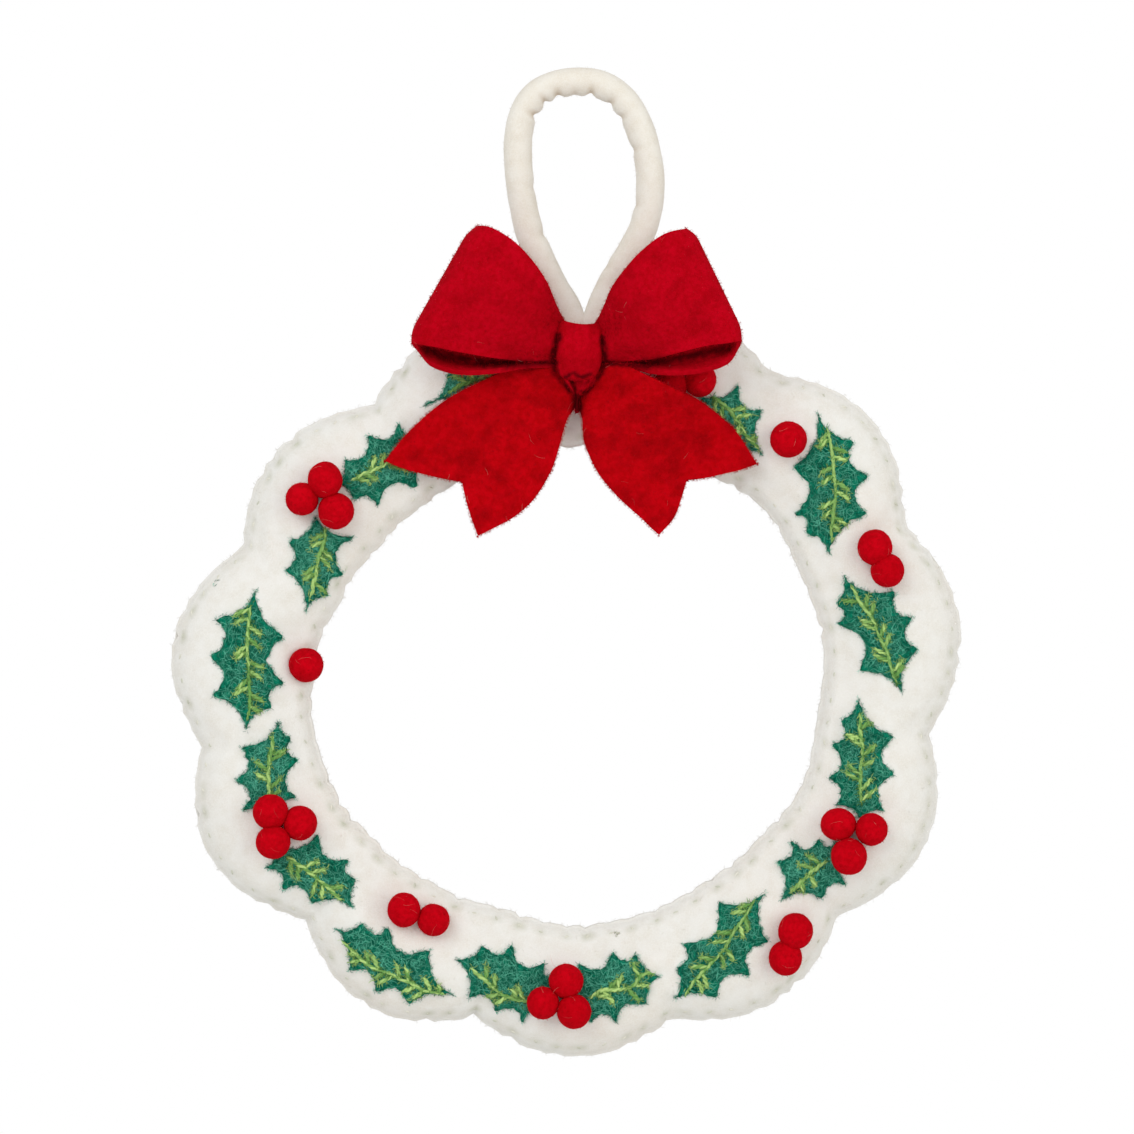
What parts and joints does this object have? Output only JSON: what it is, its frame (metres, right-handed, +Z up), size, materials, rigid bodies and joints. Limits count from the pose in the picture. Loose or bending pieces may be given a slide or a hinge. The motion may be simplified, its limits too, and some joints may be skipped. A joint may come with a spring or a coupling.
{
  "type": "felt wreath",
  "caption": "Padded scalloped felt ring with holly leaves, felt ball berries, a red felt bow at its top and a rolled felt loop that it hangs by.",
  "frame": {"origin": "where the hook bears, inside the top of the hanging loop, on the seam plane between the two faces", "axes": "+Z up as it hangs, -Y the decorated front, +Y the door or wall behind it, +X to the viewer's right"},
  "size_m": [0.3317, 0.0581, 0.414],
  "materials": {
    "cream_felt": "matt wool felt, off-white, with loose fibres",
    "green_felt": "matt needle-felted wool, deep green, with yellow-green veins",
    "red_felt": "matt wool felt, deep red, with a soft nap",
    "berry_felt": "rolled wool felt ball, bright red",
    "cream_thread": "cotton sewing thread, cream with a little green",
    "wadding": "soft fibre wadding, white"
  },
  "bodies": {
    "wreath": {"front_panel": "cream_felt", "back_panel": "cream_felt", "stuffing": "wadding", "outer_seam_thread": "cream_thread", "inner_seam_thread": "cream_thread", "holly_leaf_01": "green_felt", "holly_leaf_02": "green_felt", "holly_leaf_03": "green_felt", "holly_leaf_04": "green_felt", "holly_leaf_05": "green_felt", "holly_leaf_06": "green_felt", "holly_leaf_07": "green_felt", "holly_leaf_08": "green_felt", "holly_leaf_09": "green_felt", "holly_leaf_10": "green_felt", "holly_leaf_11": "green_felt", "holly_leaf_12": "green_felt", "holly_leaf_13": "green_felt", "holly_leaf_14": "green_felt", "holly_leaf_15": "green_felt", "berry_01": "berry_felt", "berry_02": "berry_felt", "berry_03": "berry_felt", "berry_04": "berry_felt", "berry_05": "berry_felt", "berry_06": "berry_felt", "berry_07": "berry_felt", "berry_08": "berry_felt", "berry_09": "berry_felt", "berry_10": "berry_felt", "berry_11": "berry_felt", "berry_12": "berry_felt", "berry_13": "berry_felt", "berry_14": "berry_felt", "berry_15": "berry_felt", "berry_16": "berry_felt", "berry_17": "berry_felt", "berry_18": "berry_felt", "berry_19": "berry_felt", "berry_20": "berry_felt", "berry_21": "berry_felt", "berry_22": "berry_felt", "bow_knot": "red_felt", "bow_loop_left": "red_felt", "bow_loop_right": "red_felt"},
    "bow_tail_left": {"bow_tail_left": "red_felt"},
    "bow_tail_right": {"bow_tail_right": "red_felt"},
    "hanging_loop": {"hanging_loop": "cream_felt"}
  },
  "joints": [
    {"name": "loop_fold", "type": "hinge", "parent": "wreath", "child": "hanging_loop", "pos_m": [0.0004, 0, -0.0864], "axis": [1, 0, 0], "range_deg": [-90, 25], "stiffness_Nm_per_rad": 0.02},
    {"name": "tail_left_lift", "type": "hinge", "parent": "wreath", "child": "bow_tail_left", "pos_m": [-0.00866, -0.01853, -0.12019], "axis": [-0.493, 0, 0.87], "range_deg": [0, 45], "stiffness_Nm_per_rad": 0.008},
    {"name": "tail_right_lift", "type": "hinge", "parent": "wreath", "child": "bow_tail_right", "pos_m": [0.00706, -0.01853, -0.12019], "axis": [-0.493, 0, -0.87], "range_deg": [0, 45], "stiffness_Nm_per_rad": 0.008}
  ]
}
